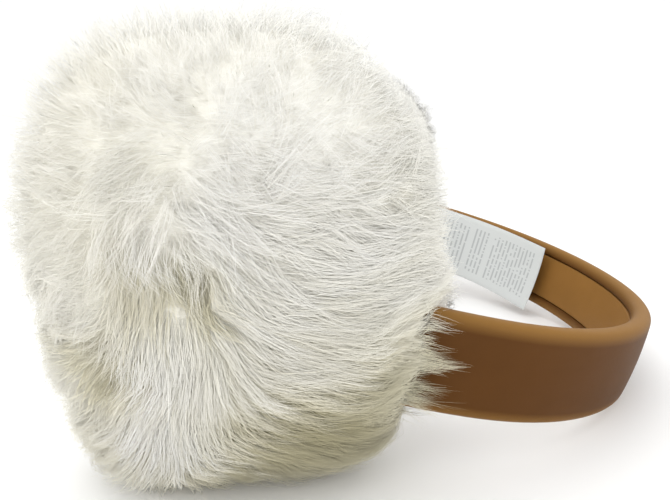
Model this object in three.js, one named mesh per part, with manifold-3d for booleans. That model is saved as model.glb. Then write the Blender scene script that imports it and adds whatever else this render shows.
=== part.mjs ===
// Fur earmuffs: a padded leather headband with an inner leather panel, a deep fur puff over each
// ear, and a satin care ribbon on the inside of one leg. They lie on a surface, wearer's top edge
// of the band downwards and forwards.
// Millimetres. +Z is up, +X points from the ears to the crown of the band, and the near ear is at -Y.

import * as THREE from 'three';
import { mergeVertices } from 'three/addons/utils/BufferGeometryUtils.js';
import Module from 'manifold-3d';

const wasm = await Module();
wasm.setup();

const degree = Math.PI / 180;
const gap = 0.3;                 // clearance between pieces that touch

// Headband
const bandWidth = 28;
const bandThickness = 6;
const bandEdgeRadius = 2.6;
const bandFaceCrown = 0.5;       // how far the padding swells the outer face
const crownRadius = 82;          // of the centreline over the head
const crownAngle = 72 * degree;  // from the middle of the crown to each shoulder
const shoulderRadius = 160;
const shoulderAngle = 8 * degree;
const legLength = 26;            // straight end, held between the two furs
const bandTilt = 14.1 * degree;  // the crown dips until its edge meets the surface
const bandSteps = 48;
const edgeSegments = 3;          // of each rounded corner of a section

// Inner leather panel, set into the band between two rolled borders
const panelWidth = 18.4;
const panelDepth = 1.5;
const panelCrown = 0.7;

// Ear furs
const furHalfLength = 46.5;      // front to back
const furCentreHeight = 41;      // of the widest level above the surface
const furHeightUp = 70;
const furHeightDown = 44;        // the fur below the surface level is pressed flat
const furOutDepth = 32;          // from the leg to the outermost fur
const furEarDepth = 36;          // from the leg towards the ear
const furLean = 0.2;             // outwards for each millimetre up
const furSquareness = 2.8;       // of the outline seen from the side, where 2 is an ellipse
const furDome = 2.2;             // the same for the rounding towards the middle
const furBeyondBand = 16;        // from the band's end to the fur's middle
const furRows = 26;
const furColumns = 38;

// Lobes and hollows of each fur: a direction on the form, how far it rises there in millimetres,
// and how wide the lobe is in radians. forward, up and out are the fur's own directions.
const nearLobes = [
  { forward: -0.62, up: 0.62, out: 0.45, rise: 1.5, spread: 0.50 },
  { forward: 0.35, up: 0.80, out: 0.30, rise: 2.0, spread: 0.45 },
  { forward: 0.85, up: 0.45, out: 0.20, rise: 2.0, spread: 0.35 },
  { forward: -0.75, up: -0.65, out: 0.20, rise: 3.0, spread: 0.30 },
  { forward: -0.20, up: 0.30, out: 1.00, rise: -2.5, spread: 0.35 },
  { forward: 0.94, up: 0.02, out: -0.34, rise: 15.0, spread: 0.36 },
  { forward: 0.30, up: 0.40, out: -0.85, rise: 2.0, spread: 0.50 },
];
const farLobes = [
  { forward: -0.55, up: 0.60, out: 0.50, rise: 2.5, spread: 0.50 },
  { forward: 0.50, up: 0.70, out: 0.40, rise: 2.0, spread: 0.40 },
  { forward: 0.80, up: -0.20, out: 0.45, rise: 2.0, spread: 0.40 },
  { forward: 0.05, up: 0.15, out: 1.00, rise: -3.0, spread: 0.35 },
  { forward: 0.30, up: 0.35, out: -0.90, rise: 1.5, spread: 0.50 },
];

// Care ribbon, sewn in where the far leg enters the fur, its free end standing off the band
const ribbonWidth = 30;
const ribbonThickness = 1;
const ribbonFreeEnd = 54;        // along the band from the middle of the crown
const ribbonSewnEnd = 122;
const ribbonClearSewn = 0.6;     // from the inner panel
const ribbonClearFree = 4;
const ribbonDropSewn = 1.2;      // below the band's middle line
const ribbonDropFree = 1.6;
const ribbonSteps = 14;

const crownLength = crownRadius * crownAngle;
const shoulderLength = shoulderRadius * shoulderAngle;
const bandHalfLength = crownLength + shoulderLength + legLength;
const legAngle = crownAngle + shoulderAngle;

// A point of the band's centreline, a distance from the middle of the crown, far side positive.
// heading is the angle of the outward normal from +X.
function bandPoint(distance) {
  const run = Math.abs(distance);
  const onCrown = Math.min(run, crownLength);
  const onShoulder = Math.min(Math.max(run - crownLength, 0), shoulderLength);
  const onLeg = Math.max(run - crownLength - shoulderLength, 0);
  const crownTurn = onCrown / crownRadius;
  const turn = crownTurn + onShoulder / shoulderRadius;
  const x = -crownRadius * (1 - Math.cos(crownTurn))
    - shoulderRadius * (Math.cos(crownTurn) - Math.cos(turn)) - onLeg * Math.sin(turn);
  const y = crownRadius * Math.sin(crownTurn)
    + shoulderRadius * (Math.sin(turn) - Math.sin(crownTurn)) + onLeg * Math.cos(turn);
  const side = Math.sign(distance);
  return { x, y: side * y, heading: side * turn };
}

// A line beside the band from one distance to another. inward and drop give its place beside the
// centreline, and are functions of how far along it is, from 0 to 1.
class LineAlongBand extends THREE.Curve {
  constructor(start, end, inward = () => 0, drop = () => 0) {
    super();
    Object.assign(this, { start, end, inward, drop });
  }

  getPoint(t, target = new THREE.Vector3()) {
    const { x, y, heading } = bandPoint(THREE.MathUtils.lerp(this.start, this.end, t));
    const inward = this.inward(t);
    return target.set(
      x - inward * Math.cos(heading), y - inward * Math.sin(heading), -this.drop(t));
  }
}

// Sections are drawn with x down across the band and y towards the head.
function sweep(section, line, steps) {
  const extrusion = { steps, curveSegments: edgeSegments, extrudePath: line };
  return new THREE.ExtrudeGeometry(section, extrusion);
}

// The strap, larger than the band by a margin all round, with a recess of this width for the panel.
function strapSection(margin = 0, recessWidth = 0) {
  const radius = bandEdgeRadius + margin;
  const edge = bandWidth / 2 - bandEdgeRadius;
  const face = bandThickness / 2 - bandEdgeRadius;
  const section = new THREE.Shape();
  section.moveTo(-edge, -face - radius);
  section.quadraticCurveTo(0, -face - radius - 2 * bandFaceCrown, edge, -face - radius);
  section.absarc(edge, -face, radius, -Math.PI / 2, 0);
  section.absarc(edge, face, radius, 0, Math.PI / 2);
  if (recessWidth) {
    section.lineTo(recessWidth / 2, face + radius);
    section.lineTo(recessWidth / 2, face + radius - panelDepth - gap);
    section.lineTo(-recessWidth / 2, face + radius - panelDepth - gap);
    section.lineTo(-recessWidth / 2, face + radius);
  }
  section.absarc(-edge, face, radius, Math.PI / 2, Math.PI);
  section.absarc(-edge, -face, radius, Math.PI, 1.5 * Math.PI);
  return section;
}

// The panel's section, from the floor of its recess to its padded face.
function panelSection(margin = 0) {
  const side = panelWidth / 2 + margin;
  const face = bandThickness / 2 + margin;
  const section = new THREE.Shape();
  section.moveTo(-side, bandThickness / 2 - panelDepth);
  section.lineTo(side, bandThickness / 2 - panelDepth);
  section.lineTo(side, face);
  section.quadraticCurveTo(0, face + 2 * panelCrown, -side, face);
  return section;
}

function toSolid(geometry) {
  const bare = geometry.clone();
  bare.deleteAttribute('normal');
  bare.deleteAttribute('uv');
  const merged = mergeVertices(bare, 1e-4);
  return new wasm.Manifold(new wasm.Mesh({
    numProp: 3,
    vertProperties: new Float32Array(merged.attributes.position.array),
    triVerts: new Uint32Array(merged.index.array),
  }));
}

function toGeometry(solid) {
  const mesh = solid.getMesh();
  const geometry = new THREE.BufferGeometry();
  geometry.setAttribute('position', new THREE.Float32BufferAttribute(mesh.vertProperties, 3));
  geometry.setIndex(new THREE.Uint32BufferAttribute(mesh.triVerts, 1));
  geometry.computeVertexNormals();
  return geometry;
}

function boxSolid(width, depth, height, placement) {
  return toSolid(new THREE.BoxGeometry(width, depth, height).applyMatrix4(placement));
}

function material(color, roughness) {
  return new THREE.MeshStandardMaterial({ color, roughness, metalness: 0 });
}

const leather = material(0x9c6a34, 0.5);
const panelLeather = material(0xa87436, 0.55);
const fur = material(0xe4e1d4, 0.95);
const ribbon = material(0xe2e3e1, 0.6);

function piece(name, geometry, finish) {
  const mesh = new THREE.Mesh(geometry, finish);
  mesh.name = name;
  return mesh;
}

const bandLine = new LineAlongBand(-bandHalfLength, bandHalfLength);

// The band dips about its crown and is lifted until its lowest edge is on the surface.
const strap = sweep(strapSection(), bandLine, bandSteps).rotateY(bandTilt);
strap.computeBoundingBox();
const bandPlacement = new THREE.Matrix4().makeTranslation(0, 0, -strap.boundingBox.min.z)
  .multiply(new THREE.Matrix4().makeRotationY(bandTilt));

function headband() {
  const section = strapSection(0, panelWidth + 2 * gap);
  return sweep(section, bandLine, bandSteps).applyMatrix4(bandPlacement);
}

function innerPanel() {
  return sweep(panelSection(), bandLine, bandSteps).applyMatrix4(bandPlacement);
}

function careRibbon(width = ribbonWidth, thickness = ribbonThickness, sewnEnd = ribbonSewnEnd) {
  const face = (bandThickness + ribbonThickness) / 2 + panelCrown;
  const { lerp, smoothstep } = THREE.MathUtils;
  const inward = (t) => face + lerp(ribbonClearFree, ribbonClearSewn, smoothstep(t, 0, 1));
  const drop = (t) => lerp(ribbonDropFree, ribbonDropSewn, t);
  const line = new LineAlongBand(ribbonFreeEnd, sewnEnd, inward, drop);
  const section = new THREE.Shape();
  section.moveTo(-width / 2, -thickness / 2);
  section.lineTo(width / 2, -thickness / 2);
  section.lineTo(width / 2, thickness / 2);
  section.lineTo(-width / 2, thickness / 2);
  return sweep(section, line, ribbonSteps).applyMatrix4(bandPlacement);
}

// Solids that trim the furs are boxes of this size, larger than a fur in every direction.
const trimSize = 400;

// The frame of an ear: x forwards along the leg, z up, and y away from the other ear on the far
// side and towards it on the near side.
function earPlacement(side) {
  const { x, y } = bandPoint(side * (bandHalfLength + furBeyondBand));
  const middle = new THREE.Vector3(x, y, 0).applyMatrix4(bandPlacement);
  return new THREE.Matrix4().makeTranslation(middle.x, middle.y, furCentreHeight)
    .multiply(new THREE.Matrix4().makeRotationZ(side * (legAngle - Math.PI / 2)));
}

// How far the fur reaches from its middle in a direction of the ear's frame.
function furReach(direction, side, lobes) {
  const outward = side * direction.y;
  const reachUp = direction.z > 0 ? furHeightUp : furHeightDown;
  const reachOut = outward > 0 ? furOutDepth : furEarDepth;
  const outline = Math.abs(direction.x / furHalfLength) ** furSquareness
    + Math.abs(direction.z / reachUp) ** furSquareness;
  const sum = outline ** (furDome / furSquareness) + Math.abs(outward / reachOut) ** furDome;
  const seenFromEar = new THREE.Vector3(direction.x, outward, direction.z);
  const lobed = lobes.map(({ forward, up, out, rise, spread }) => {
    const away = seenFromEar.angleTo(new THREE.Vector3(forward, out, up));
    return rise * Math.exp(-((away / spread) ** 2));
  });
  return sum ** (-1 / furDome) + lobed.reduce((total, rise) => total + rise, 0);
}

function furForm(side, lobes) {
  const form = new THREE.SphereGeometry(1, furColumns, furRows).rotateX(Math.PI / 2);
  const points = form.attributes.position;
  for (let i = 0; i < points.count; i++) {
    const direction = new THREE.Vector3().fromBufferAttribute(points, i).normalize();
    const point = direction.multiplyScalar(furReach(direction, side, lobes));
    points.setXYZ(i, point.x, point.y + side * furLean * point.z, point.z);
  }
  const surface = new THREE.Matrix4().makeTranslation(0, 0, trimSize / 2);
  return toSolid(form.applyMatrix4(earPlacement(side)))
    .intersect(boxSolid(trimSize, trimSize, trimSize, surface))
    .subtract(legSlot());
}

// The room that the furs leave for the band, its lining and the sewn end of the ribbon.
function legSlot() {
  const line = new LineAlongBand(-bandHalfLength - gap, bandHalfLength + gap);
  const room = toSolid(sweep(strapSection(gap), line, bandSteps).applyMatrix4(bandPlacement));
  const panelRoom = toSolid(sweep(panelSection(gap), line, bandSteps).applyMatrix4(bandPlacement));
  const ribbonRoom = toSolid(
    careRibbon(ribbonWidth + 2 * gap, ribbonThickness + 2 * gap, ribbonSewnEnd + gap));
  return room.add(panelRoom).add(ribbonRoom);
}

// A fur is two pieces that hold the leg between them and meet on its middle plane.
function furHalf(form, side, outward) {
  const { x, y } = bandPoint(side * bandHalfLength);
  const half = bandPlacement.clone()
    .multiply(new THREE.Matrix4().makeTranslation(x, y, 0))
    .multiply(new THREE.Matrix4().makeRotationZ(side * (legAngle - Math.PI / 2)))
    .multiply(new THREE.Matrix4().makeTranslation(0, side * outward * (trimSize + gap) / 2, 0));
  return toGeometry(form.intersect(boxSolid(trimSize, trimSize, trimSize, half)));
}

const earmuffs = new THREE.Group();
earmuffs.add(piece('headband', headband(), leather));
earmuffs.add(piece('band_lining', innerPanel(), panelLeather));
earmuffs.add(piece('care_label', careRibbon(), ribbon));
for (const { ear, side, lobes } of [
  { ear: 'near', side: -1, lobes: nearLobes },
  { ear: 'far', side: 1, lobes: farLobes },
]) {
  const form = furForm(side, lobes);
  earmuffs.add(piece(`${ear}_outer_fur`, furHalf(form, side, 1), fur));
  earmuffs.add(piece(`${ear}_ear_fur`, furHalf(form, side, -1), fur));
}

// The origin is the middle of the whole object's base.
const extent = new THREE.Box3().setFromObject(earmuffs);
const middle = extent.getCenter(new THREE.Vector3());
earmuffs.position.set(-middle.x, -middle.y, -extent.min.z);

export default earmuffs;
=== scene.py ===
# Fur earmuffs lying on a pale studio floor: leather headband, inner panel, satin ribbon and deep fur.
import math

import bmesh
import bpy
import numpy as np
from mathutils import Matrix, Vector
from mathutils.bvhtree import BVHTree


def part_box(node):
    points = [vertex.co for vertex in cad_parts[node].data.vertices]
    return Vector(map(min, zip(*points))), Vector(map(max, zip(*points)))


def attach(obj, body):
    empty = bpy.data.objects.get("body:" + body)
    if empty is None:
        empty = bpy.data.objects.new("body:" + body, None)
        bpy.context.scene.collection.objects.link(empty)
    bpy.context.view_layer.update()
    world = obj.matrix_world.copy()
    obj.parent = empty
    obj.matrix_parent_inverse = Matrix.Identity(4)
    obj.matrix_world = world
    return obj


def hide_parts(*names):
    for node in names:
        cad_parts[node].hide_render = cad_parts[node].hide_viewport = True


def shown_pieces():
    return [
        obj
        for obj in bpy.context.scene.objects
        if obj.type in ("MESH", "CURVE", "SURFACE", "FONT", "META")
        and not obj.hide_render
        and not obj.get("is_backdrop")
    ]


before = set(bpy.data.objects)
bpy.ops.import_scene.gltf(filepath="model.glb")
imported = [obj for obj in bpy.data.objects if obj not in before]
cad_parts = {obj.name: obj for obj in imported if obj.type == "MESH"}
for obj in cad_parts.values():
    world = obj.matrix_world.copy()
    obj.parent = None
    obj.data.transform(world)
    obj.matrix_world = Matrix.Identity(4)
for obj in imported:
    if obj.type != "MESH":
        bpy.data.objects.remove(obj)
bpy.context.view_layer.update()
print("frame loaded")

millimetre = 0.001


# selecting, edit mode, modifiers, and what every finished piece is given

def deselectEverything():
    for thing in bpy.context.selected_objects:
        thing.select_set(False)


def makeActive(piece):
    deselectEverything()
    piece.select_set(True)
    bpy.context.view_layer.objects.active = piece


def editMode():
    bpy.ops.object.mode_set(mode="EDIT")


def objectMode():
    bpy.ops.object.mode_set(mode="OBJECT")


def pick(piece, kind, wanted):  # selects vertices, edges or faces by a test on each, and nothing else
    bpy.ops.mesh.select_mode(type={"verts": "VERT", "edges": "EDGE", "faces": "FACE"}[kind])
    bpy.ops.mesh.select_all(action="DESELECT")
    shape = bmesh.from_edit_mesh(piece.data)
    for part in getattr(shape, kind):
        if wanted(part):
            part.select_set(True)
    shape.select_flush_mode()
    bmesh.update_edit_mesh(piece.data)


def applyModifier(piece, kind, **settings):
    makeActive(piece)
    modifier = piece.modifiers.new(kind.title(), kind)
    for name, value in settings.items():
        setattr(modifier, name, value)
    bpy.ops.object.modifier_apply(modifier=modifier.name)


def finishPiece(piece, name, material, replaced=(), smooth=True):
    piece.name = name
    piece.data.name = name
    piece.data.materials.clear()
    piece.data.materials.append(material)
    if smooth:
        for face in piece.data.polygons:
            face.use_smooth = True
    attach(piece, "root")
    if replaced:
        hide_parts(*replaced)


# shader maths: an output socket that takes part in sums, and the material that it belongs to

class Wire:
    def __init__(self, finish, socket):
        self.finish = finish
        self.socket = socket

    def __add__(self, other):
        return self.finish.maths("ADD", self, other)

    def __radd__(self, other):
        return self.finish.maths("ADD", other, self)

    def __sub__(self, other):
        return self.finish.maths("SUBTRACT", self, other)

    def __rsub__(self, other):
        return self.finish.maths("SUBTRACT", other, self)

    def __mul__(self, other):
        return self.finish.maths("MULTIPLY", self, other)

    def __rmul__(self, other):
        return self.finish.maths("MULTIPLY", other, self)

    def __pow__(self, other):
        return self.finish.maths("POWER", self, other)


class Finish:
    def __init__(self, name, shader):
        self.material = bpy.data.materials.new(name)
        self.material.use_nodes = True
        self.tree = self.material.node_tree
        self.shader = self.tree.nodes["Principled BSDF"]
        self.fill(self.shader, shader)

    def fill(self, node, sockets):
        for name, value in sockets.items():
            if isinstance(value, Wire):
                self.tree.links.new(value.socket, node.inputs[name])
            else:
                node.inputs[name].default_value = value

    def node(self, kind, settings, sockets, output=0):
        node = self.tree.nodes.new("ShaderNode" + kind)
        for name, value in settings.items():
            if name == "stops":
                ramp = node.color_ramp.elements
                while len(ramp) < len(value):
                    ramp.new(1)
                for stop, (place, colour) in zip(ramp, value):
                    stop.position = place
                    stop.color = colour
            else:
                setattr(node, name, value)
        self.fill(node, sockets)
        return Wire(self, node.outputs[output])

    def maths(self, operation, first, second=0.0):
        return self.node("Math", {"operation": operation}, {0: first, 1: second})

    def place(self):
        return self.node("TexCoord", {}, {}, "Object")

    def noise(self, place, scale, detail=3, roughness=0.5):
        sockets = {"Vector": place, "Scale": scale, "Detail": detail, "Roughness": roughness}
        return self.node("TexNoise", {}, sockets, "Fac")

    def stretched(self, place, scale):
        return self.node("Mapping", {}, {"Vector": place, "Scale": scale})

    def ramp(self, value, stops):
        return self.node("ValToRGB", {"stops": stops}, {"Fac": value})

    def blend(self, share, first, second):
        sockets = {"Factor": share, 6: first, 7: second}
        return self.node("Mix", {"data_type": "RGBA"}, sockets, 2)

    def bump(self, height, strength, distance):
        sockets = {"Height": height, "Strength": strength, "Distance": distance}
        return self.node("Bump", {}, sockets)

    def attribute(self, name):
        return self.node("Attribute", {"attribute_name": name}, {}, "Fac")


# camera, floor and light

camera = {
    "azimuth": 9.7, "elevation": 13.3,  # degrees round from the front, and down
    "aim": (-0.0278, -0.0084, 0.0408), "distance": 0.2278,
    "lens": 32.2,
}


def addCamera():
    around, above = math.radians(camera["azimuth"]), math.radians(camera["elevation"])
    back = Matrix.Rotation(around, 3, "Z") @ Vector((0, -math.cos(above), math.sin(above)))
    eye = Vector(camera["aim"]) + back * camera["distance"]
    bpy.ops.object.camera_add(location=eye, rotation=back.to_track_quat("Z", "Y").to_euler())
    made = bpy.context.object
    made.data.lens = camera["lens"]
    made.data.clip_start = 0.01
    bpy.context.scene.camera = made


studio = {
    "floorRadius": 1.6, "floorRim": 1.3, "rimSteps": 8, "floorColour": (0.9, 0.9, 0.895, 1),
    "worldColour": (1, 1, 1, 1), "worldStrength": 1.2,
    "lamps": (  # place, width, power, aimed at the middle of the object
        {"name": "topLight", "place": (-0.3, -0.3, 0.95), "width": 0.9, "power": 3},
        {"name": "sideFill", "place": (0.9, -0.55, 0.35), "width": 0.6, "power": 1.6},
        {"name": "frontFill", "place": (-0.7, -0.9, 0.55), "width": 0.8, "power": 1.5},
    ),
}


def addFloor():
    deselectEverything()
    bpy.ops.mesh.primitive_circle_add(vertices=96, radius=studio["floorRadius"], fill_type="NGON")
    floor = bpy.context.object
    editMode()
    bpy.ops.mesh.inset(thickness=0.001)
    outside = studio["floorRadius"] - 0.0005
    pick(floor, "edges", lambda edge: min(v.co.length for v in edge.verts) > outside)
    steps = studio["rimSteps"]
    for step in range(1, steps + 1):  # the rim sweeps up in a quarter round
        turn = math.radians(90 * (step - 0.5) / steps)
        piece = studio["floorRim"] * math.radians(90) / steps
        bpy.ops.mesh.extrude_region_move(TRANSFORM_OT_translate={"value": (0, 0, piece * math.sin(turn))})
        width = max(v.co.xy.length for v in bmesh.from_edit_mesh(floor.data).verts)
        wider = (width + piece * math.cos(turn)) / width
        bpy.ops.transform.resize(value=(wider, wider, 1), center_override=(0, 0, 0))
    bpy.ops.mesh.select_all(action="SELECT")
    bpy.ops.mesh.normals_make_consistent(inside=True)
    objectMode()
    floor.name = "floor"
    surface = Finish("floorPaint", {"Roughness": 0.85, "Specular IOR Level": 0.2})
    speckle = surface.noise(surface.place(), 3)
    pale = tuple(0.985 * part for part in studio["floorColour"][:3]) + (1,)
    surface.fill(surface.shader, {"Base Color": surface.blend(speckle, studio["floorColour"], pale)})
    floor.data.materials.append(surface.material)
    for face in floor.data.polygons:
        face.use_smooth = True
    floor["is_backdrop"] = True


def addLights():
    world = bpy.data.worlds.new("studio")
    bpy.context.scene.world = world
    world.use_nodes = True
    background = world.node_tree.nodes["Background"]
    background.inputs["Color"].default_value = studio["worldColour"]
    background.inputs["Strength"].default_value = studio["worldStrength"]
    for lamp in studio["lamps"]:
        towards = Vector(lamp["place"]) - Vector((0, 0, 0.05))
        turned = towards.to_track_quat("Z", "Y").to_euler()
        bpy.ops.object.light_add(type="AREA", location=lamp["place"], rotation=turned)
        light = bpy.context.object
        light.name = lamp["name"]
        light.data.size = lamp["width"]
        light.data.energy = lamp["power"]
    bpy.context.scene.view_settings.view_transform = "Standard"


addCamera()
addFloor()
addLights()
print("studio ready")


# the line that the headband follows: a crown arc, two shoulder arcs and two straight legs

band = {
    "width": 0.028, "thickness": 0.006, "edgeRadius": 0.0026, "faceCrown": 0.0005,
    "crownRadius": 0.082, "crownAngle": math.radians(72),
    "shoulderRadius": 0.160, "shoulderAngle": math.radians(8),
    "legLength": 0.026, "tilt": math.radians(14.1),
    "crownSteps": 28, "shoulderSteps": 6, "legSteps": 6,
    "recessHalfWidth": 0.0094, "recessDepth": 0.0018, "rolledEdge": 0.0011,
    "cuts": (-0.0094, -0.0075, -0.005, -0.0025, 0, 0.0025, 0.005, 0.0075, 0.0094),
    "colour": (0.100, 0.038, 0.0055, 1), "deepColour": (0.080, 0.030, 0.0045, 1),
    # The edge colour is partly wear and partly a painted highlight along the strap's rims.
    "edgeWearAndHighlightColour": (0.25, 0.125, 0.03, 1), "roughness": 0.55,
}
legAngle = band["crownAngle"] + band["shoulderAngle"]
crownCentre = Vector((-band["crownRadius"], 0, 0))
shoulderCentre = crownCentre + (band["crownRadius"] - band["shoulderRadius"]) * Vector(
    (math.cos(band["crownAngle"]), math.sin(band["crownAngle"]), 0))
crownLength = band["crownRadius"] * band["crownAngle"]
shoulderLength = band["shoulderRadius"] * band["shoulderAngle"]
halfLength = crownLength + shoulderLength + band["legLength"]
legStart = shoulderCentre + band["shoulderRadius"] * Vector((math.cos(legAngle), math.sin(legAngle), 0))
legWay = Vector((-math.sin(legAngle), math.cos(legAngle), 0))


def bandPoint(distance):  # a point of the centreline and its outward direction, far side positive
    run = abs(distance)
    side = 1 if distance >= 0 else -1
    if run <= crownLength:
        turn = run / band["crownRadius"]
        middle, radius = crownCentre, band["crownRadius"]
    else:
        turn = min(band["crownAngle"] + (run - crownLength) / band["shoulderRadius"], legAngle)
        middle, radius = shoulderCentre, band["shoulderRadius"]
    outward = Vector((math.cos(turn), math.sin(turn), 0))
    point = middle + radius * outward + legWay * max(run - crownLength - shoulderLength, 0)
    return Vector((point.x, side * point.y, 0)), Vector((outward.x, side * outward.y, 0))


def bandPlace(point):  # how far along the band a point is, and how far inside its centreline
    spot = Vector((point.x, abs(point.y), 0))
    fromCrown = spot - crownCentre
    turn = math.atan2(fromCrown.y, fromCrown.x)
    if turn <= band["crownAngle"]:
        return turn * band["crownRadius"], band["crownRadius"] - fromCrown.length
    fromShoulder = spot - shoulderCentre
    turn = math.atan2(fromShoulder.y, fromShoulder.x)
    if turn <= legAngle:
        along = crownLength + (turn - band["crownAngle"]) * band["shoulderRadius"]
        return along, band["shoulderRadius"] - fromShoulder.length
    onLeg = spot - legStart
    outward = Vector((math.cos(legAngle), math.sin(legAngle), 0))
    return crownLength + shoulderLength + onLeg.dot(legWay), -onLeg.dot(outward)


def addProfile(piece, crownSide):  # a strap's section, at the crown, with one face swollen by its padding
    width, thickness, edgeRadius = piece["width"], piece["thickness"], piece["edgeRadius"]
    deselectEverything()
    bpy.ops.mesh.primitive_plane_add(size=1, rotation=(math.radians(90), 0, 0))
    strap = bpy.context.object
    bpy.ops.object.transform_apply(location=False, rotation=True, scale=False)
    editMode()
    bpy.ops.transform.resize(value=(thickness, 1, width))
    bpy.ops.mesh.bevel(offset=edgeRadius, segments=5, affect="VERTICES")
    for height in piece["cuts"]:
        bpy.ops.mesh.select_all(action="SELECT")
        bpy.ops.mesh.bisect(plane_co=(0, 0, height), plane_no=(0, 0, 1))
    flat = width / 2 - edgeRadius
    face = thickness / 2 - 1e-5
    for height in piece["cuts"]:
        bulge = piece["faceCrown"] * (1 - (height / flat) ** 2)
        pick(strap, "verts", lambda v: abs(v.co.z - height) < 1e-5 and v.co.x * crownSide > face)
        bpy.ops.transform.translate(value=(crownSide * bulge, 0, 0))
    return strap


def bendAlongBand(strap):  # spins the section round the crown and the shoulder, then runs the leg out
    bpy.ops.mesh.select_all(action="SELECT")
    for part, centre in (("crown", crownCentre), ("shoulder", shoulderCentre)):
        steps, angle = band[part + "Steps"], -band[part + "Angle"]
        bpy.ops.mesh.spin(steps=steps, angle=angle, center=centre, axis=(0, 0, 1))
    stride = legWay * band["legLength"] / band["legSteps"]
    for step in range(band["legSteps"]):
        bpy.ops.mesh.extrude_region_move(TRANSFORM_OT_translate={"value": stride})
    pick(strap, "faces", lambda face: all(abs(v.co.y) < 1e-6 for v in face.verts))
    bpy.ops.mesh.delete(type="FACE")
    objectMode()
    applyModifier(strap, "MIRROR", use_axis=(False, True, False), merge_threshold=1e-5)
    editMode()
    bpy.ops.mesh.select_all(action="SELECT")
    bpy.ops.mesh.remove_doubles(threshold=1e-6)
    bpy.ops.mesh.normals_make_consistent(inside=False)
    objectMode()


def layDown(piece, place):  # tilts a piece of the band and sets it on the surface
    piece.data.transform(place @ Matrix.Rotation(band["tilt"], 4, "Y"))


def boxOf(piece):
    corners = np.array([v.co for v in piece.data.vertices])
    return Vector(corners.min(0)), Vector(corners.max(0))


def markBand(piece):  # leaves how far across the band each point is, for the leather
    across = piece.data.attributes.new("across", "FLOAT", "POINT")
    for number, vertex in enumerate(piece.data.vertices):
        across.data[number].value = vertex.co.z / band["width"]


grain = {
    "gloss": 0.12, "clouds": 55, "fine": 900, "pores": 1500, "creases": 90, "creaseStretch": (1, 1, 5),
    "wornAndHighlightFrom": 0.36, "strength": 0.12, "depth": 0.0004, "roughnessSpread": 0.1,
}


def leather(name, piece):
    finish = Finish(name, {"Specular IOR Level": grain["gloss"]})
    place = finish.place()
    cloudy = finish.noise(place, grain["clouds"], 4, 0.55)
    fine = finish.noise(place, grain["fine"], 2, 0.6)
    cells = {"Vector": place, "Scale": grain["pores"]}
    pores = finish.node("TexVoronoi", {"feature": "DISTANCE_TO_EDGE"}, cells, "Distance")
    creases = finish.noise(finish.stretched(place, grain["creaseStretch"]), grain["creases"], 3, 0.5)
    rim = finish.maths("ABSOLUTE", finish.attribute("across"))  # the edges are painted paler: partly wear, partly a painted highlight along the rims
    wornAndHighlighted = finish.ramp(rim, [(grain["wornAndHighlightFrom"], (0, 0, 0, 1)), (0.5, (1, 1, 1, 1))])
    tone = finish.blend(cloudy, piece["colour"], piece["deepColour"])
    relief = pores ** 0.4 * 0.5 + fine * 0.5 + creases * 1.2
    smoothest = piece["roughness"] - grain["roughnessSpread"] / 2
    finish.fill(finish.shader, {
        "Base Color": finish.blend(wornAndHighlighted, tone, piece["edgeWearAndHighlightColour"]),
        "Roughness": smoothest + cloudy * grain["roughnessSpread"],
        "Normal": finish.bump(relief, grain["strength"], grain["depth"]),
    })
    return finish.material


def addHeadband():
    strap = addProfile(band, 1)
    bendAlongBand(strap)
    editMode()
    inner = band["thickness"] / 2 - 1e-4
    reach = band["recessHalfWidth"]

    def onInside(part):
        return all(bandPlace(v.co)[1] > inner for v in part.verts)

    pick(strap, "faces", lambda face: abs(face.calc_center_median().z) < reach and onInside(face))
    bpy.ops.mesh.extrude_region_shrink_fatten(
        TRANSFORM_OT_shrink_fatten={"value": -band["recessDepth"], "use_even_offset": True})
    pick(strap, "edges", lambda edge: onInside(edge) and all(
        abs(abs(v.co.z) - reach) < 1e-4 for v in edge.verts))
    bpy.ops.mesh.bevel(offset=band["rolledEdge"], segments=3, profile=0.6)
    objectMode()
    applyModifier(strap, "SUBSURF", levels=1, render_levels=1)
    markBand(strap)
    layDown(strap, Matrix.Identity(4))
    low, high = boxOf(strap)
    cadBandLow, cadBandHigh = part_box("headband")
    shift = Vector((cadBandHigh.x - high.x, (cadBandLow.y + cadBandHigh.y) / 2, cadBandLow.z - low.z))
    place = Matrix.Translation(shift)
    strap.data.transform(place)
    finishPiece(strap, "headband_leather", leather("bandLeather", band), ["headband"])
    return strap, place


lining = {
    "width": 0.0184, "thickness": 0.0015, "edgeRadius": 0.0006, "faceCrown": 0.0008,
    "cuts": (-0.0075, -0.0055, -0.0035, 0, 0.0035, 0.0055, 0.0075),
    "colour": (0.25, 0.118, 0.026, 1), "deepColour": (0.20, 0.092, 0.02, 1),
    "edgeWearAndHighlightColour": (0.25, 0.118, 0.026, 1), "roughness": 0.55,
}


def addLining(place):
    panel = addProfile(lining, -1)
    bpy.ops.mesh.select_all(action="SELECT")
    inward = (band["thickness"] - lining["thickness"]) / 2
    bpy.ops.transform.translate(value=(-inward, 0, 0))
    bendAlongBand(panel)
    applyModifier(panel, "SUBSURF", levels=1, render_levels=1)
    markBand(panel)
    layDown(panel, place)
    golden = leather("liningLeather", lining)
    finishPiece(panel, "band_lining_panel", golden, ["band_lining"])


ribbon = {
    "width": 0.030, "thickness": 0.00035, "freeEnd": 0.054, "sewnEnd": 0.122,
    "clearSewn": 0.0011, "clearFree": 0.0045, "dropSewn": 0.0012, "dropFree": 0.0016,
    "curl": 0.0012, "wave": 0.0002,
    "satinColour": (0.57, 0.59, 0.585, 1), "inkColour": (0.10, 0.11, 0.13, 1), "ink": 0.38,
    "lines": 30, "marks": 44, "lineHeight": 0.4, "gaps": 0.22, "blankLines": 0.36,
    "printed": 0.72, "printedLength": 0.84, "printedMiddle": 0.48,
}


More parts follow.
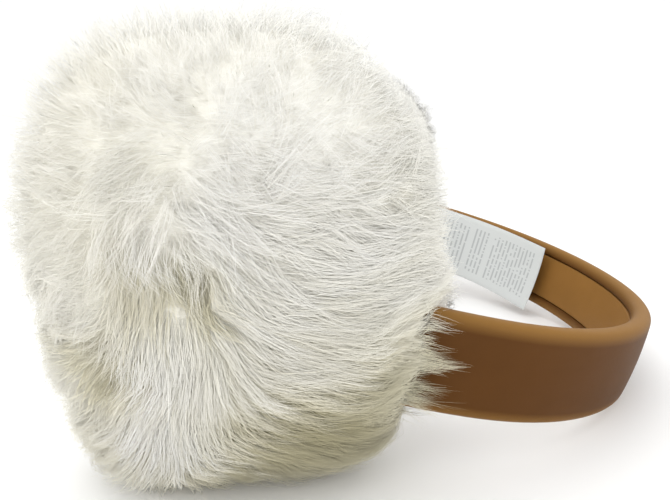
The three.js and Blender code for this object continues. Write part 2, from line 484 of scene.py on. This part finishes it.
def satin():  # rows of small grey marks stand for the printing
    finish = Finish("labelSatin", {"Roughness": 0.42, "Sheen Weight": 0.3, "Specular IOR Level": 0.5})
    uv = finish.node("UVMap", {"uv_map": "UVMap"}, {})

    def within(value, middle, width):
        return finish.maths("LESS_THAN", finish.maths("ABSOLUTE", value - middle), width / 2)

    along = finish.node("SeparateXYZ", {}, {"Vector": uv}, "X")
    across = finish.node("SeparateXYZ", {}, {"Vector": uv}, "Y")
    rows = along * ribbon["lines"]
    inLine = within(finish.maths("FRACT", rows), 0.5, ribbon["lineHeight"])
    number = finish.maths("FLOOR", rows)
    cells = finish.node("CombineXYZ", {}, {"X": across * ribbon["marks"], "Y": number * 7.31})
    cell = finish.node("VectorMath", {"operation": "FLOOR"}, {0: cells})
    chance = finish.node("TexWhiteNoise", {"noise_dimensions": "2D"}, {"Vector": cell}, "Value")
    inked = finish.maths("GREATER_THAN", chance, ribbon["gaps"])
    margin = within(across, 0.5, ribbon["printed"])
    page = within(along, ribbon["printedMiddle"], ribbon["printedLength"])
    lineSpots = finish.node("CombineXYZ", {}, {"X": number * 3.7, "Y": 0.0})
    blank = finish.maths("GREATER_THAN", finish.noise(lineSpots, 1.3, 0), ribbon["blankLines"])
    ink = inLine * inked * margin * page * blank * ribbon["ink"]
    threads = {"Vector": uv, "Scale": 60, "Distortion": 0.3}
    weave = finish.node("TexWave", {"bands_direction": "Y"}, threads, "Fac")
    finish.fill(finish.shader, {
        "Base Color": finish.blend(ink, ribbon["satinColour"], ribbon["inkColour"]),
        "Normal": finish.bump(weave, 0.06, 0.0001),
    })
    return finish.material


def addRibbon(place):
    deselectEverything()
    bpy.ops.mesh.primitive_grid_add(x_subdivisions=40, y_subdivisions=14, size=1, calc_uvs=True)
    label = bpy.context.object
    face = band["thickness"] / 2 + lining["faceCrown"]
    for vertex in label.data.vertices:
        share = vertex.co.x + 0.5  # from the free end to the sewn end
        eased = share * share * (3 - 2 * share)
        distance = ribbon["freeEnd"] + (ribbon["sewnEnd"] - ribbon["freeEnd"]) * share
        point, outward = bandPoint(distance)
        clear = ribbon["clearFree"] + (ribbon["clearSewn"] - ribbon["clearFree"]) * eased
        curl = ribbon["curl"] * (1 - share) ** 2 * (2 * vertex.co.y) ** 2
        drop = ribbon["dropFree"] + (ribbon["dropSewn"] - ribbon["dropFree"]) * share
        inward = face + clear + curl + ribbon["wave"] * math.sin(9 * share)
        vertex.co = point - outward * inward + Vector((0, 0, vertex.co.y * ribbon["width"] - drop))
    applyModifier(label, "SOLIDIFY", thickness=ribbon["thickness"], offset=0)
    applyModifier(label, "BEVEL", width=0.0001, segments=1, limit_method="ANGLE")
    layDown(label, place)
    finishPiece(label, "care_ribbon", satin(), ["care_label"])


headband, bandShift = addHeadband()
addLining(bandShift)
addRibbon(bandShift)
print("headband, lining and ribbon ready")


# ear furs: a soft under-fur body in each ear, and strands combed over it

fur = {
    "inset": 0.0025, "voxel": 0.0026, "smoothing": 22,  # the under-fur body lies inside the outer form
    "dent": 0.0065, "dentDepth": 0.015, "fullRise": 3.2,  # and sinks where the pile is lower than this
    "middleHeight": 0.041, "beyondBand": 0.016,  # each fur's middle, up and past the band's end
    "tableReach": 0.003, "seamOverlap": 0.0005, "steepest": -0.93,
    "slotHalfDepth": 0.0042, "slotHalfWidth": 0.015,  # nothing grows in the slot of the band
    "guideSteps": 8, "lowest": 0.0004, "sag": 0.10, "partingLift": 1.2, "liftLimits": (-0.5, 1.6),
    "waves": 0.3, "waveLength": 0.017, "lumps": 0.3, "lumpLength": 0.026,
    "longShare": 0.12, "longer": 1.5,  # a few longer wisps
    "softClump": 0.35, "softSway": 0.8, "lockSway": 0.15,  # the short soft pile lies every way
    "reach": (0.72, 1.0), "draw": (0.6, 1.1), "layer": (-0.0016, 0.0008), "bow": 0.0005,
    "frizz": (0.0008, 0.002), "frizzShares": (0.85, 0.15),
    "widths": (0.6, 1.25), "tones": (0.93, 1.05), "flatness": 0.7, "ownNormal": 0.1,
    # The darker, yellower colours of the fur's ramp are painted shade for the hollows, the bottom and the
    # roots; the tip colour is the fur's own.
    "deepColour": (0.40, 0.36, 0.21, 1), "shadedRootColour": (0.77, 0.725, 0.555, 1),
    "tipColour": (0.955, 0.945, 0.895, 1), "paintedGlow": 0.08,
    "trianglesPerPiece": 196000,
}

# How each fur lies. forward and up are places on the fur in millimetres from its middle, and
# toForward and toUp the way that it is combed there. length and rise are in millimetres: rise is how
# high the strands stand off. clump is how far locks draw together, and tone how light they are
# painted: a low tone is painted shade, in the hollows and towards the bottom.
lieColumns = ("forward", "up", "toForward", "toUp", "length", "rise", "clump", "tone")
nearOuterLie = (
    (-4, 62, -0.1, 0.5, 9, 4.8, 0.05, 0.95),
    (17, 60, 0.3, 0.4, 9, 4.8, 0.05, 0.96),
    (17, 45, 0.6, 0.2, 9, 3.2, 0.05, 1.00),
    (43, 37, 0.7, 0.2, 11, 5.6, 0.10, 0.90),
    (7, 50, 0.4, 0.2, 9, 3.4, 0.05, 1.00),
    (4, 42, 0.6, -0.1, 11, 3.6, 0.15, 1.00),
    (0, 34, 0.6, -0.35, 13, 3.4, 0.25, 1.00),
    (0, 26, 0.8, -0.6, 15, 3.2, 0.30, 0.96),
    (17, 27, 1.0, -0.1, 18, 3.4, 0.30, 0.95),
    (33, 15, 1.0, 0.25, 16, 3.4, 0.55, 0.88),
    (46, 18, 0.9, 0.1, 8, 2.8, 0.30, 0.87),
    (17, 6, 1.0, -0.05, 19, 3.6, 0.55, 0.78),
    (42, 4, 1.0, 0.0, 13, 1.4, 0.50, 0.70),
    (42, -7, 1.0, -0.1, 12, 1.4, 0.50, 0.50),
    (26, -9, 1.0, -0.12, 18, 3.2, 0.60, 0.30),
    (16, -20, 1.0, -0.25, 18, 3.0, 0.60, 0.06),
    (2, -28, 0.8, -0.5, 18, 3.0, 0.60, 0.00),
    (-5, 19, 0.3, -0.7, 13, 0.7, 0.35, 0.26),
    (-12, 20, 0.0, -0.7, 13, 1.8, 0.30, 0.55),
    (-10, 28, 0.0, -0.5, 12, 3.2, 0.20, 0.94),
    (-8, 11, 0.0, -1.0, 16, 3.2, 0.35, 0.90),
    (3, 15, 0.9, -0.4, 17, 3.2, 0.35, 0.92),
    (-14, 4, -0.1, -1.0, 18, 4.0, 0.40, 1.00),
    (-15, -14, -0.2, -1.0, 18, 4.0, 0.55, 1.00),
    (-26, -22, -0.8, -0.6, 14, 4.8, 0.35, 0.66),
    (-20, 0, -0.6, -0.5, 11, 1.0, 0.25, 0.34),
    (-13, 39, -0.4, -0.2, 9, 2.2, 0.08, 0.88),
    (-5, 52, -0.3, 0.2, 9, 2.9, 0.08, 0.92),
    (-20, 54, -0.4, 0.5, 9, 5.4, 0.05, 0.86),
    (-32, 35, -0.7, 0.1, 9, 6.0, 0.05, 0.84),
    (-28, 16, -0.7, -0.2, 9, 4.2, 0.08, 0.86),
    (-36, -12, -0.8, -0.5, 11, 5.0, 0.15, 0.82),
)
earLie = (
    (0, 40, 0.1, 0.8, 9, 3.5, 0.13, 1.00),
    (30, 35, 0.8, 0.4, 9, 3.5, 0.13, 1.00),
    (-30, 35, -0.8, 0.4, 9, 3.5, 0.13, 1.00),
    (48, 4, 1.0, 0.0, 9, 3.3, 0.21, 1.00),
    (20, 5, 1.0, 0.1, 10, 3.3, 0.21, 1.00),
    (-20, 5, -0.9, -0.3, 10, 3.3, 0.21, 1.00),
    (0, 15, 0.5, 0.6, 9, 3.0, 0.21, 0.97),
    (25, -20, 0.7, -0.7, 10, 3.3, 0.26, 0.90),
    (-25, -20, -0.7, -0.7, 10, 3.3, 0.26, 0.92),
    (0, -12, 0.1, -1.0, 10, 3.3, 0.26, 0.90),
)
farOuterLie = (
    (0, 60, 0.1, 0.8, 9, 3.8, 0.09, 1.00),
    (28, 45, 0.7, 0.5, 10, 3.8, 0.13, 1.00),
    (-28, 45, -0.7, 0.5, 10, 3.8, 0.13, 1.00),
    (0, 30, 0.4, 0.5, 10, 2.3, 0.26, 0.92),
    (16, 24, 1.0, -0.1, 15, 3.3, 0.34, 1.00),
    (-14, 26, -0.9, 0.2, 13, 3.0, 0.26, 0.97),
    (36, 14, 1.0, -0.1, 14, 3.3, 0.34, 0.97),
    (12, 4, 0.9, -0.5, 16, 3.5, 0.38, 0.95),
    (-12, 8, -0.5, -0.9, 14, 2.6, 0.34, 0.92),
    (40, -8, 1.0, -0.2, 13, 2.7, 0.38, 0.92),
    (22, -16, 0.8, -0.6, 16, 3.2, 0.38, 0.85),
    (0, -22, -0.1, -1.0, 16, 3.0, 0.42, 0.80),
    (-26, -14, -0.7, -0.7, 14, 3.2, 0.30, 0.90),
    (-36, 8, -1.0, -0.2, 11, 3.3, 0.17, 0.97),
)

# The lean carries the pile from the outside over the rim to the ear. A strand's width is in millimetres.
outerHalf = {"outward": 1, "lean": 0.45}
earHalf = {
    "outward": -1, "lean": -0.35, "lie": earLie,
    "guides": 900, "strands": 8000, "rings": 2, "width": 0.24,
}
nearOuter = {"lie": nearOuterLie, "guides": 3200, "strands": 38000, "rings": 3, "width": 0.15}
farOuter = {"lie": farOuterLie, "guides": 1400, "strands": 12500, "rings": 2, "width": 0.24}
ears = (
    {"ear": "near", "side": -1, "halves": (
        {"node": "near_outer_fur", **outerHalf, **nearOuter},
        {"node": "near_ear_fur", **earHalf},
    )},
    {"ear": "far", "side": 1, "halves": (
        {"node": "far_outer_fur", **outerHalf, **farOuter},
        {"node": "far_ear_fur", **earHalf},
    )},
)


def earFrame(side):  # a fur's middle and its forward, outward and up directions
    middle, outward = bandPoint(side * (halfLength + fur["beyondBand"]))
    middle = bandShift @ Matrix.Rotation(band["tilt"], 4, "Y") @ middle
    forward = Vector((math.sin(legAngle), -side * math.cos(legAngle), 0))
    return {
        "middle": np.array((middle.x, middle.y, fur["middleHeight"])),
        "forward": np.array(forward),
        "outward": np.array(outward),
        "up": np.array((0.0, 0.0, 1.0)),
    }


def addUnderFur(ear, halves, earSpace):
    copies = []
    for half in halves:
        copy = bpy.data.objects.new(ear + "_under_fur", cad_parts[half["node"]].data.copy())
        bpy.context.scene.collection.objects.link(copy)
        copies.append(copy)
    makeActive(copies[0])
    for copy in copies:
        copy.select_set(True)
    bpy.ops.object.join()
    body = bpy.context.object
    editMode()
    bpy.ops.mesh.select_all(action="SELECT")
    bpy.ops.mesh.remove_doubles(threshold=1e-6)
    objectMode()
    applyModifier(body, "REMESH", mode="VOXEL", voxel_size=fur["voxel"])
    applyModifier(body, "DISPLACE", strength=-fur["inset"], mid_level=0)
    applyModifier(body, "REMESH", mode="VOXEL", voxel_size=fur["voxel"])
    applyModifier(body, "SMOOTH", factor=0.5, iterations=fur["smoothing"])
    pressHollows(body, halves, earSpace)
    return body


def pressHollows(body, halves, earSpace):  # and leaves each point's tone from the table, painted shade for the colour
    outward = earSpace["outward"]
    places = np.array([v.co for v in body.data.vertices])
    depth = (places - earSpace["middle"]) @ outward
    tones = np.zeros(len(places))
    for half in halves:
        here = depth * half["outward"] >= 0
        lie = readLie(places[here], half, earSpace)
        tones[here] = lie["tone"]
        fade = np.clip(np.abs(depth[here]) / fur["dentDepth"], 0, 1)
        dent = fur["dent"] * np.clip(1 - lie["rise"] / fur["fullRise"], 0, 1) * fade
        places[here] -= (half["outward"] * dent)[:, None] * outward
    body.data.vertices.foreach_set("co", places.reshape(-1))
    body.data.attributes.new("shade", "FLOAT", "POINT").data.foreach_set("value", tones)
    body.data.update()


def ripple(points, wavelength, dice):  # a smooth random vector for each point
    total = np.zeros_like(points)
    for wave in range(5):
        way = dice.normal(size=3)
        way *= 2 * math.pi / (wavelength * np.linalg.norm(way))
        push = dice.normal(size=3)
        total += np.sin(points @ way + dice.uniform(0, 2 * math.pi))[:, None] * push
    return total / 3


def unit(vectors):
    return vectors / np.maximum(np.linalg.norm(vectors, axis=-1, keepdims=True), 1e-9)


def readLie(points, half, earSpace):  # the table's values, blended at each point
    table = np.array(half["lie"], float)
    places = table[:, :2] * millimetre
    fromMiddle = points - earSpace["middle"]
    spots = np.stack((fromMiddle @ earSpace["forward"], fromMiddle @ earSpace["up"]), axis=1)
    away = ((spots[:, None, :] - places[None, :, :]) ** 2).sum(2)
    weight = 1 / (away + fur["tableReach"] ** 2) ** 2
    weight /= weight.sum(1, keepdims=True)
    values = weight @ table[:, 2:]
    return dict(zip(lieColumns[2:], values.T))


def comb(points, normals, half, earSpace):  # the way that the fur lies on its surface at each point
    lie = readLie(points, half, earSpace)
    way = lie["toForward"][:, None] * earSpace["forward"] + lie["toUp"][:, None] * earSpace["up"]
    sure = np.minimum(np.linalg.norm(way, axis=1), 1)[:, None]  # small where the fur parts
    way -= half["lean"] * half["outward"] * earSpace["outward"]
    way -= (way * normals).sum(1, keepdims=True) * normals
    return unit(way), sure


def softness(clump):  # 1 in the short soft pile, 0 in the locks
    return np.clip(1 - clump / fur["softClump"], 0, 1)


def sampleRoots(body, count, half, earSpace, dice):
    body.data.calc_loop_triangles()
    corners = np.array([[body.data.vertices[i].co for i in t.vertices] for t in body.data.loop_triangles])
    normals = np.array([t.normal for t in body.data.loop_triangles])
    centres = corners.mean(1)
    sides = np.cross(corners[:, 1] - corners[:, 0], corners[:, 2] - corners[:, 0])
    areas = np.linalg.norm(sides, axis=1) / 2
    depth = (centres - earSpace["middle"]) @ earSpace["outward"]
    onHalf = depth * half["outward"] > -fur["seamOverlap"]
    clear = np.array([not inSlot(unlay(centre)) for centre in centres])
    areas = np.where(onHalf & (normals[:, 2] > fur["steepest"]) & clear, areas, 0)
    picked = dice.choice(len(areas), size=count, p=areas / areas.sum())
    a, b = dice.random((2, count))
    flip = a + b > 1
    a, b = np.where(flip, 1 - a, a), np.where(flip, 1 - b, b)
    spots = corners[picked]
    points = spots[:, 0] + a[:, None] * (spots[:, 1] - spots[:, 0])
    points += b[:, None] * (spots[:, 2] - spots[:, 0])
    return points, normals[picked]


unlayMatrix = (bandShift @ Matrix.Rotation(band["tilt"], 4, "Y")).inverted()


def unlay(point):  # from the lying object back to the flat band's own space
    return unlayMatrix @ Vector(point)


def inSlot(point):
    return abs(bandPlace(point)[1]) < fur["slotHalfDepth"] and abs(point.z) < fur["slotHalfWidth"]


def growGuides(half, earSpace, body, ground, dice):  # locks that follow the surface as they are combed
    roots, normals = sampleRoots(body, half["guides"], half, earSpace, dice)
    lie = readLie(roots, half, earSpace)
    count = len(roots)
    lengths = lie["length"] * millimetre * dice.uniform(0.8, 1.2, count)
    lengths *= np.where(dice.random(count) < fur["longShare"], fur["longer"], 1)
    rises = lie["rise"] * millimetre * dice.uniform(0.6, 1.0, count)
    rises *= 1 + fur["lumps"] * ripple(roots, fur["lumpLength"], dice)[:, 0]
    steps = fur["guideSteps"]
    paths = np.zeros((count, steps + 1, 3))
    facing = np.zeros((count, steps + 1, 3))
    paths[:, 0], facing[:, 0] = roots, normals
    points = roots.copy()
    free = softness(lie["clump"])[:, None]
    sway = dice.normal(0, 1, (count, 1)) * (fur["lockSway"] + fur["softSway"] * free)
    for step in range(steps):
        near = [ground.find_nearest(p) for p in points]
        on = np.array([n[0] for n in near])
        normal = np.array([n[1] for n in near])
        height = ((points - on) * normal).sum(1)
        way, sure = comb(on, normal, half, earSpace)
        waving = ripple(points, fur["waveLength"], np.random.default_rng(seedOf(half)))
        way = unit(way + fur["waves"] * waving)
        across = np.cross(normal, way)
        way = unit(way + sway * across)
        share = (step + 1) / steps
        target = rises * math.sin(min(1, share * 1.5) * math.pi / 2)
        stride = lengths / steps
        lift = np.clip((target - height) / stride, *fur["liftLimits"])
        rising = (lift[:, None] + fur["partingLift"] * (1 - sure)) * normal
        move = unit(way * sure + rising + np.array((0, 0, -fur["sag"])))
        points = points + move * stride[:, None]
        points[:, 2] = np.maximum(points[:, 2], fur["lowest"])
        paths[:, step + 1] = points
        facing[:, step + 1] = normal
    return {"paths": paths, "facing": facing, "clump": lie["clump"], "tone": lie["tone"]}


def between(table, rows, shares):  # values along each row's path, at shares of its length
    steps = table.shape[1] - 1
    at = np.clip(shares * steps, 0, steps - 1e-6)
    low = at.astype(int)
    rest = (at - low)[..., None]
    return table[rows[:, None], low] * (1 - rest) + table[rows[:, None], low + 1] * rest


def nearestGuide(roots, starts):  # in parts, to keep the tables of distances small
    owners = []
    for part in np.array_split(roots, 40):
        away = ((part[:, None] - starts[None]) ** 2).sum(2)
        owners.append(np.argmin(away, axis=1))
    return np.concatenate(owners)


def growStrands(half, earSpace, body, guides, dice):
    roots = sampleRoots(body, half["strands"], half, earSpace, dice)[0]
    count = len(roots)
    starts = guides["paths"][:, 0]
    owner = nearestGuide(roots, starts)
    clump = guides["clump"][owner]
    rings = half["rings"]
    shares = np.linspace(0, 1, rings + 1)
    reach = dice.uniform(*fur["reach"], count)
    at = shares[None] * reach[:, None]
    paths = between(guides["paths"], owner, at)
    facing = unit(between(guides["facing"], owner, at))
    offset = roots - starts[owner]
    draw = clump * dice.uniform(*fur["draw"], count)
    paths += offset[:, None] * (1 - draw[:, None] * shares[None] ** 1.5)[..., None]
    layer = dice.uniform(*fur["layer"], count)  # some strands lie deeper than others
    paths += facing * (layer[:, None] * shares[None])[..., None]
    loose = np.clip(1.5 - 2.4 * clump, 0.5, 1.4)
    frizz = dice.normal(0, 1, (count, 3))
    frizz *= (dice.choice(fur["frizz"], count, p=fur["frizzShares"]) * loose)[:, None]
    bow = np.sin(shares * math.pi)[None, :, None]
    wander = dice.normal(0, fur["bow"], (count, 1, 3)) * bow
    paths += frizz[:, None] * (shares ** 2)[None, :, None] + wander
    paths[..., 2] = np.maximum(paths[..., 2], fur["lowest"])
    # Each strand takes the table's painted shade, varied at random, and is painted darker towards its
    # root as shade deep in the pile.
    tone = guides["tone"][owner] * dice.uniform(*fur["tones"], count)
    shade = np.clip(tone[:, None] * (0.8 + 0.2 * shares[None] ** 0.6), 0, 1)
    width = half["width"] * millimetre * dice.uniform(*fur["widths"], count)
    width *= 1.1 - 0.45 * softness(clump)
    return {"paths": paths, "facing": facing, "shade": shade, "width": width}


def strandFaces(count, rings):  # a three-sided spike: a closed root, rings of sides and a point
    sides = []
    for level in range(rings - 1):
        for corner in range(3):
            a = level * 3 + corner
            b = level * 3 + (corner + 1) % 3
            sides.append((b, a, a + 3, b + 3))
    last = (rings - 1) * 3
    point = last + 3
    ends = [(last + 1, last, point), (last + 2, last + 1, point), (last, last + 2, point), (0, 1, 2)]
    base = (np.arange(count) * (point + 1))[:, None, None]
    quads = (base + np.array(sides)[None]).reshape(-1, 4)
    tris = (base + np.array(ends)[None]).reshape(-1, 3)
    return quads, tris


def strandMesh(name, strands, chosen):
    paths, facing = strands["paths"][chosen], strands["facing"][chosen]
    shade, width = strands["shade"][chosen], strands["width"][chosen]
    count, knots = paths.shape[:2]
    rings = knots - 1
    way = unit(np.gradient(paths, axis=1))
    side = unit(np.cross(way, facing))
    top = unit(np.cross(side, way))
    shares = np.linspace(0, 1, knots)[:rings]
    taper = (1 - shares) ** 0.6 * (0.75 + 0.25 * np.sin(shares * math.pi))
    radius = width[:, None] / 2 * taper[None]
    corners = []
    normals = []
    for turn in (90, 210, 330):
        sideways, upwards = math.cos(math.radians(turn)), math.sin(math.radians(turn))
        out = side[:, :rings] * sideways + top[:, :rings] * upwards * fur["flatness"]
        corners.append(paths[:, :rings] + out * radius[..., None])
        own = fur["ownNormal"] * unit(out)  # the rest of its normal is the pile's, for soft light
        normals.append(unit(own + (1 - fur["ownNormal"]) * facing[:, :rings]))
    ring = np.stack(corners, axis=2)  # strand, ring, corner
    ringNormals = np.stack(normals, axis=2)
    tip = paths[:, -1:]
    vertices = np.concatenate((ring.reshape(count, rings * 3, 3), tip), axis=1)
    vertexNormals = np.concatenate((ringNormals.reshape(count, rings * 3, 3), facing[:, -1:]), axis=1)
    vertexShade = np.concatenate((np.repeat(shade[:, :rings], 3, axis=1), shade[:, -1:]), axis=1)
    quads, tris = strandFaces(count, rings)
    mesh = bpy.data.meshes.new(name)
    mesh.from_pydata(vertices.reshape(-1, 3), [], quads.tolist() + tris.tolist())
    attribute = mesh.attributes.new("shade", "FLOAT", "POINT")
    attribute.data.foreach_set("value", vertexShade.reshape(-1).astype(np.float32))
    for face in mesh.polygons:
        face.use_smooth = True
    mesh.normals_split_custom_set_from_vertices(vertexNormals.reshape(-1, 3).tolist())
    piece = bpy.data.objects.new(name, mesh)
    bpy.context.scene.collection.objects.link(piece)
    return piece


# Turns the painted shade into colour: a low shade gives the darker, yellower painted-shade colours.
def furColour(finish, shade):
    stops = [(0.15, fur["deepColour"]), (0.5, fur["shadedRootColour"]), (0.95, fur["tipColour"])]
    return finish.ramp(shade, stops)


def strandFinish():
    finish = Finish("furStrands", {
        "Roughness": 0.8, "Specular IOR Level": 0.15, "Sheen Weight": 0.35, "Sheen Roughness": 0.6,
    })
    colour = furColour(finish, finish.attribute("shade"))
    # The strands also glow faintly in their own colour: painted light that lifts the shade between them.
    finish.fill(finish.shader, {
        "Base Color": colour, "Emission Color": colour, "Emission Strength": fur["paintedGlow"],
    })
    return finish.material


def underFinish():
    finish = Finish("underFur", {"Roughness": 0.95, "Specular IOR Level": 0.1, "Sheen Weight": 0.3})
    place = finish.place()
    streaks = finish.noise(finish.stretched(place, (260, 260, 900)), 1, 3)
    tufts = finish.noise(place, 160, 4, 0.6)
    # The under-fur takes the table's painted shade, scaled a little down and varied by streaks and tufts.
    finish.fill(finish.shader, {
        "Base Color": furColour(finish, finish.attribute("shade") * (0.8 + 0.1 * streaks + 0.1 * tufts)),
        "Normal": finish.bump(streaks + tufts, 0.5, 0.0008),
    })
    return finish.material


def seedOf(half):
    return sum(map(ord, half["node"]))


def addEar(ear, strandMaterial, underMaterial):
    space = earFrame(ear["side"])
    body = addUnderFur(ear["ear"], ear["halves"], space)
    finishPiece(body, ear["ear"] + "_under_fur", underMaterial)
    shapes = bmesh.new()
    shapes.from_mesh(body.data)
    shapes.from_mesh(headband.data)
    ground = BVHTree.FromBMesh(shapes)
    shapes.free()
    for half in ear["halves"]:
        dice = np.random.default_rng(seedOf(half))
        guides = growGuides(half, space, body, ground, dice)
        strands = growStrands(half, space, body, guides, dice)
        order = dice.permutation(half["strands"])
        trianglesEach = 6 * half["rings"] - 2
        parts = math.ceil(half["strands"] * trianglesEach / fur["trianglesPerPiece"])
        for number, chosen in enumerate(np.array_split(order, parts), start=1):
            name = half["node"] + "_strands_" + str(number)
            piece = strandMesh(name, strands, chosen)
            finishPiece(piece, name, strandMaterial, [half["node"]], smooth=False)
        print(half["node"], "combed")


strandMaterial = strandFinish()
underMaterial = underFinish()
for ear in ears:
    addEar(ear, strandMaterial, underMaterial)

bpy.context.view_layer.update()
made = [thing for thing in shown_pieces() if thing.type == "MESH"]
print("triangles", sum(len(face.vertices) - 2 for thing in made for face in thing.data.polygons))
